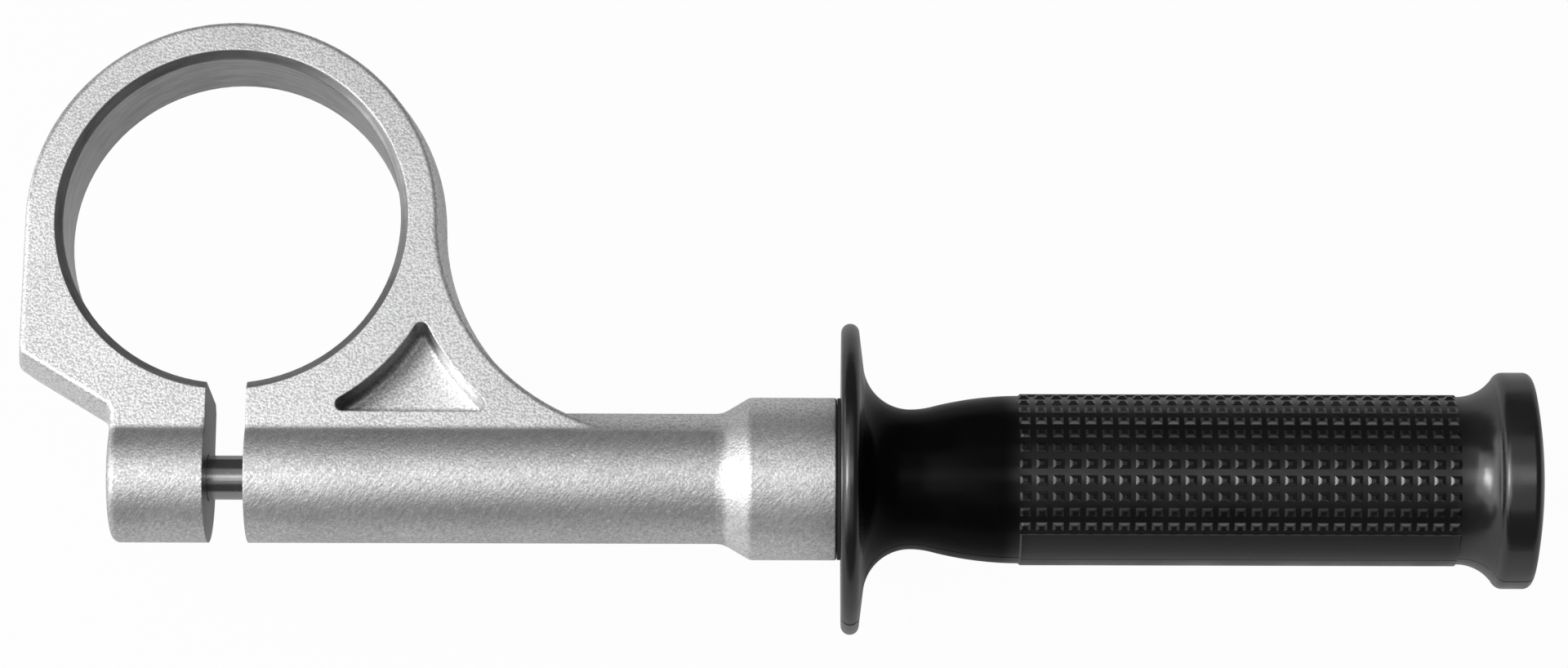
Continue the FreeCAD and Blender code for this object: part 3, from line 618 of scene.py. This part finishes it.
class CastingShader(Shader):
    """Shader of the casting, with the masks and noises that its finishes share."""

    def __init__(self, name):
        super().__init__(name)
        self.x, self.y, self.z = self.axes()
        self.flat = self.stretch(self.spot, (1.0, 1.0, 0.0))
        self.radius = self.length(self.flat)
        self.grain = self.noise(self.spot, *BLAST_GRAIN)
        self.marks = self.noise(self.stretch(self.spot, TURNING_STRETCH), *TURNING)
        turn = {"Vector": self.spot, "Angle": math.radians(STROKE_SLANT)}
        slanting = self.add("VectorRotate", turn, rotation_type="Z_AXIS").outputs[0]
        self.strokes = self.noise(self.stretch(slanting, STROKE_STRETCH), *STROKES)
        self.arm = self.fade(self.y, ARM_EDGE - ARM_FADE, ARM_EDGE + ARM_FADE, 1.0, 0.0)
        below = self.math("LESS_THAN", self.y, 0.0)
        self.sawn = self.times(self.within(self.x, -SLIT_HALF, SLIT_HALF), below)
        bored = self.math("LESS_THAN", self.radius, BORE_EDGE_RADIUS * MM)
        faced = self.math("GREATER_THAN", self.x, BOSS_FACE * MM)
        self.machined = self.math("MAXIMUM", self.math("MAXIMUM", bored, self.sawn), faced)

    def arm_shade_and_cone_highlight(self):
        """Shade of arm and boss with the strokes of their skin, and a painted highlight along the cone."""
        cone_from = self.fade(self.x, *(CONE_START + past for past in CONE_START_FADE))
        cone_to = self.fade(self.x, CONE_END - CONE_END_FADE, CONE_END + CONE_END_FADE, 1.0, 0.0)
        plain = self.fade(self.x, CONE_START, CONE_END, ARM_SHADE, BOSS_SHADE)
        # painted highlight along the cone
        shade = self.mix(self.times(cone_from, cone_to), plain, CONE_PAINTED_HIGHLIGHT)
        return self.times(shade, self.span(self.strokes, *NOISE_RANGE, *STROKE_SHADES))

    def pocket_painted_shade_and_light(self):
        """Painted shade in the pocket's corners and down its foot, and painted light towards its middle. It
        is 1 all round it.
        """
        web_centre = [size * MM for size in WEB_CENTRE] + [0.0]
        apart = self.add("VectorMath", {0: self.flat, 1: web_centre}, operation="DISTANCE")
        past_web = self.math("GREATER_THAN", apart.outputs["Value"], WEB_WALL_RADIUS * MM)
        sunk = self.within(self.math("ABSOLUTE", self.z), 0.0, POCKET_EDGE)
        pocket = self.times(self.within(self.x, *POCKET_ACROSS), self.within(self.y, *POCKET_ALONG))
        pocket = self.times(pocket, past_web, sunk)
        # painted shade in the corners, painted light towards the middle and painted shade down the foot
        corner = self.fade(self.radius, POCKET_DARK_RADIUS, POCKET_LIGHT_RADIUS, POCKET_CORNER_PAINTED_SHADE, 1.0)
        middle = self.fade(self.radius, POCKET_LIGHT_RADIUS, POCKET_WHITE_RADIUS, 1.0, POCKET_MIDDLE_PAINTED_LIGHT)
        foot = self.fade(self.y, POCKET_FOOT - POCKET_FOOT_FADE, POCKET_FOOT, POCKET_FOOT_PAINTED_SHADE, 1.0)
        return self.mix(pocket, 1.0, self.times(corner, middle, foot))

    def cast_colour(self):
        """Blasted grain, evened out on the arm, which has bright specks."""
        tone = self.span(self.grain, *GRAIN_RANGE, *BLAST_TONES)
        tone = self.mix(self.times(self.arm, ARM_EVENNESS), tone, ARM_TONE)
        cloud = self.noise(self.spot, *BLAST_CLOUD)
        tone = self.times(tone, self.span(cloud, *NOISE_RANGE, *BLAST_SHADES))
        # arm and boss shade, with the painted highlight along the cone
        tone = self.times(tone, self.mix(self.arm, 1.0, self.arm_shade_and_cone_highlight()))
        specks = self.span(self.noise(self.spot, *SPECKS), *SPECK_RANGE, 0.0, SPECK_LIGHT)
        tone = self.math("ADD", tone, self.times(specks, self.arm))
        # painted shade and painted light in the pocket
        tone = self.times(tone, self.pocket_painted_shade_and_light())
        return self.add("CombineColor", {0: tone, 1: tone, 2: self.times(tone, BLAST_BLUE)}).outputs[0]

    def bare_colour(self):
        """Turned metal with fine marks and stains, with painted shade on the sawn walls of the slit."""
        stain = self.noise(self.stretch(self.spot, STAIN_STRETCH), *STAINS)
        tone = self.span(self.marks, *NOISE_RANGE, *TURNED_TONES)
        tone = self.times(tone, self.span(stain, *STAIN_RANGE, *STAIN_SHADES))
        # painted shade on the walls of the slit
        tone = self.times(tone, self.mix(self.sawn, 1.0, SLIT_PAINTED_SHADE))
        return self.add("CombineColor", {0: tone, 1: tone, 2: tone}).outputs[0]

    def relief(self):
        """Rounded edges with the blast's grain, or the turning's marks on bare metal."""
        from_crease = self.math("ABSOLUTE", self.math("SUBTRACT", self.y, CREASE * MM))
        softness = self.fade(from_crease, *CREASE_FADE, CREASE_SOFTNESS * MM, EDGE_SOFTNESS * MM)
        rounded = self.add("Bevel", {"Radius": softness}, samples=EDGE_SAMPLES).outputs[0]
        blasted = self.math("SUBTRACT", 1.0, self.machined)
        skin = self.math("ADD", self.grain, self.times(self.strokes, self.arm))
        height, strength = BLAST_RELIEF
        grained = self.bump(skin, height, self.times(blasted, strength), rounded)
        height, strength = TURNED_RELIEF
        return self.bump(self.marks, height, self.times(self.machined, strength), grained)


def cast_aluminium():
    """Grey casting, shot-blasted where no tool has cut it."""
    shader = CastingShader("cast_aluminium")
    colour = shader.blend(shader.machined, shader.cast_colour(), shader.bare_colour())
    rough = shader.span(shader.grain, *GLOSS_RANGE, *BLAST_ROUGHNESS)
    roughness = shader.mix(shader.machined, rough, TURNED_ROUGHNESS)
    return shader.finish(Base_Color=colour, Roughness=roughness, Metallic=1.0, Normal=shader.relief())


def bright_steel(name, tone, rough):
    """Plated or turned steel, with fine tool marks round the handle's axis."""
    shader = Shader(name)
    marks = shader.noise(shader.stretch(shader.spot, STEEL_STRETCH), *STEEL_MARKS)
    cloud = shader.span(shader.noise(shader.spot, *STEEL_CLOUD), *NOISE_RANGE, 0.0, 1.0)
    colour = shader.blend(cloud, grey(tone * STEEL_SHADE), grey(tone))
    roughness = shader.span(marks, *NOISE_RANGE, *(rough + more for more in STEEL_ROUGHER))
    normal = shader.bump(marks, *STEEL_RELIEF)
    return shader.finish(Base_Color=colour, Roughness=roughness, Metallic=1.0, Normal=normal)


def fibre():
    """Matt black fibre of the thrust washer."""
    shader = Shader("washer_fibre")
    weave = shader.noise(shader.stretch(shader.spot, FIBRE_STRETCH), *FIBRE_WEAVE)
    colour = shader.blend(weave, *(grey(tone) for tone in FIBRE_TONES))
    roughness = shader.span(weave, *NOISE_RANGE, *FIBRE_ROUGHNESS)
    normal = shader.bump(weave, *FIBRE_RELIEF)
    return shader.finish(Base_Color=colour, Roughness=roughness, Normal=normal)


def plastic_sheen(shader):
    """Specular level of the plastic along the grip. It is full on the worn flanks of the studs."""
    along = shader.axes()[0]
    rim, studs, end = (shader.fade(along, GUARD_FACE + first, GUARD_FACE + last, *levels)
                       for (first, last), levels in (RIM_SHEEN, STUD_SHEEN, END_SHEEN))
    sheen = shader.math("ADD", rim, shader.math("ADD", studs, end))
    from_axis = shader.add("VectorMath", {0: shader.spot, 1: (0.0, AXIS_DROP * MM, 0.0)}).outputs[0]
    radius = shader.length(shader.stretch(from_axis, (0.0, 1.0, 1.0)))
    worn = shader.times(shader.within(radius, *WORN_RADII), shader.within(along, *WORN_ALONG))
    return shader.mix(worn, sheen, WORN_SHEEN)


def black_moulding():
    """Semi-gloss black plastic with the faint grain of its mould."""
    shader = Shader("grip_plastic")
    grain = shader.noise(shader.spot, *PLASTIC_GRAIN)
    cloud = shader.noise(shader.spot, *PLASTIC_CLOUD)
    colour = shader.blend(cloud, *(grey(tone) for tone in PLASTIC_TONES))
    roughness = shader.span(cloud, *NOISE_RANGE, *PLASTIC_ROUGHNESS)
    normal = shader.bump(grain, *PLASTIC_RELIEF)
    return shader.finish(Base_Color=colour, Roughness=roughness, Normal=normal,
                         Specular_IOR_Level=plastic_sheen(shader))


def dress_nodes(**materials):
    """Node materials for the CAD nodes that stay on show."""
    for node, material in materials.items():
        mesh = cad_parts[node].data
        mesh.materials.clear()
        mesh.materials.append(material)


def white_share(tree):
    """How white the floor is: most to the camera, less in metal and plastic, none to diffuse rays."""
    path = tree.nodes.new("ShaderNodeLightPath").outputs
    share = None
    for name, level in FLOOR_WHITE.items():
        item = tree.nodes.new("ShaderNodeMath")
        item.operation = "MULTIPLY"
        tree.links.new(path[name], item.inputs[0])
        item.inputs[1].default_value = level
        if share is not None:
            most = tree.nodes.new("ShaderNodeMath")
            most.operation = "MAXIMUM"
            tree.links.new(share, most.inputs[0])
            tree.links.new(item.outputs[0], most.inputs[1])
            item = most
        share = item.outputs[0]
    return share


def floor_material():
    """Grey paper to the light and white to the eye."""
    material = bpy.data.materials.new("floor_white")
    material.use_nodes = True
    tree = material.node_tree
    tree.nodes.clear()
    matt = tree.nodes.new("ShaderNodeBsdfDiffuse")
    matt.inputs["Color"].default_value = grey(FLOOR_GREY)
    white = tree.nodes.new("ShaderNodeEmission")
    white.inputs["Strength"].default_value = 1.0
    mix = tree.nodes.new("ShaderNodeMixShader")
    tree.links.new(white_share(tree), mix.inputs["Fac"])
    tree.links.new(matt.outputs[0], mix.inputs[1])
    tree.links.new(white.outputs[0], mix.inputs[2])
    output = tree.nodes.new("ShaderNodeOutputMaterial")
    tree.links.new(mix.outputs[0], output.inputs["Surface"])
    return material


def add_floor():
    """Pale floor under the guard's rim, with the handle's faint shadow."""
    half, height = FLOOR_SIZE / 2 * MM, -(GUARD_RADIUS + FLOOR_GAP) * MM
    corners = [(x * half, y * half, height) for x, y in ((-1, -1), (1, -1), (1, 1), (-1, 1))]
    mesh = bpy.data.meshes.new("floor")
    mesh.from_pydata(corners, [], [(0, 1, 2, 3)])
    mesh.materials.append(floor_material())
    floor = bpy.data.objects.new("floor", mesh)
    bpy.context.scene.collection.objects.link(floor)


def set_world(level):
    """White where the camera sees it, and a dim grey studio to every other ray."""
    world = bpy.data.worlds.new("studio")
    bpy.context.scene.world = world
    world.use_nodes = True
    tree = world.node_tree
    tree.nodes.clear()
    path = tree.nodes.new("ShaderNodeLightPath")
    strength = tree.nodes.new("ShaderNodeMapRange")
    strength.inputs["To Min"].default_value = level
    strength.inputs["To Max"].default_value = 1.0
    tree.links.new(path.outputs["Is Camera Ray"], strength.inputs["Value"])
    background = tree.nodes.new("ShaderNodeBackground")
    background.inputs["Color"].default_value = grey(1.0)
    tree.links.new(strength.outputs[0], background.inputs["Strength"])
    output = tree.nodes.new("ShaderNodeOutputWorld")
    tree.links.new(background.outputs[0], output.inputs["Surface"])


def add_softbox(name, place_at, aim, size, radiance):
    """Soft light, given its level width, its height and the brightness of its surface."""
    light = bpy.data.lights.new(name, "AREA")
    light.shape = "RECTANGLE"
    light.size, light.size_y = size[0] * MM, size[1] * MM
    light.energy = radiance * math.pi * light.size * light.size_y
    lamp = bpy.data.objects.new(name, light)
    bpy.context.scene.collection.objects.link(lamp)
    away = Vector(place_at) - Vector(aim)
    lamp.location = Vector(place_at) * MM
    lamp.rotation_euler = away.to_track_quat("Z", "Y").to_euler()
    lamp.visible_camera = False


def add_camera():
    """Long lens above the handle, tilted so that it sees the underside of ring and arm."""
    yaw, tilt, roll = (math.radians(turn) for turn in (VIEW_YAW, VIEW_TILT, VIEW_ROLL))
    back = Vector((math.sin(yaw), -math.sin(tilt) * math.cos(yaw), math.cos(tilt) * math.cos(yaw)))
    level = Vector((0, 1, 0)).cross(back).normalized()
    upright = back.cross(level)
    right = math.cos(roll) * level + math.sin(roll) * upright
    up = math.cos(roll) * upright - math.sin(roll) * level
    lens = bpy.data.cameras.new("camera")
    lens.lens, lens.sensor_width = VIEW_LENS, VIEW_SENSOR
    camera = bpy.data.objects.new("camera", lens)
    bpy.context.scene.collection.objects.link(camera)
    eye = (Vector(VIEW_TARGET) + back * VIEW_DISTANCE) * MM
    turn = Matrix((right, up, back)).transposed().to_quaternion()
    camera.matrix_world = Matrix.LocRotScale(eye, turn, None)
    bpy.context.scene.camera = camera


def add_studio():
    for name, (place_at, aim, size, radiance) in SOFTBOXES.items():
        add_softbox(name, place_at, aim, size, radiance)
    set_world(WORLD_LEVEL)
    add_floor()


def main():
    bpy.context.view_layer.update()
    bpy.context.scene.view_settings.view_transform = "Standard"
    steel = bright_steel("bolt_steel", *BOLT_STEEL)
    add_grip(black_moulding())
    add_bolt(steel)
    add_thread(steel)
    dress_nodes(clamp_casting=cast_aluminium(), thrust_washer=fibre(),
                grip_insert=bright_steel("insert_steel", *INSERT_STEEL))
    add_camera()
    add_studio()


main()
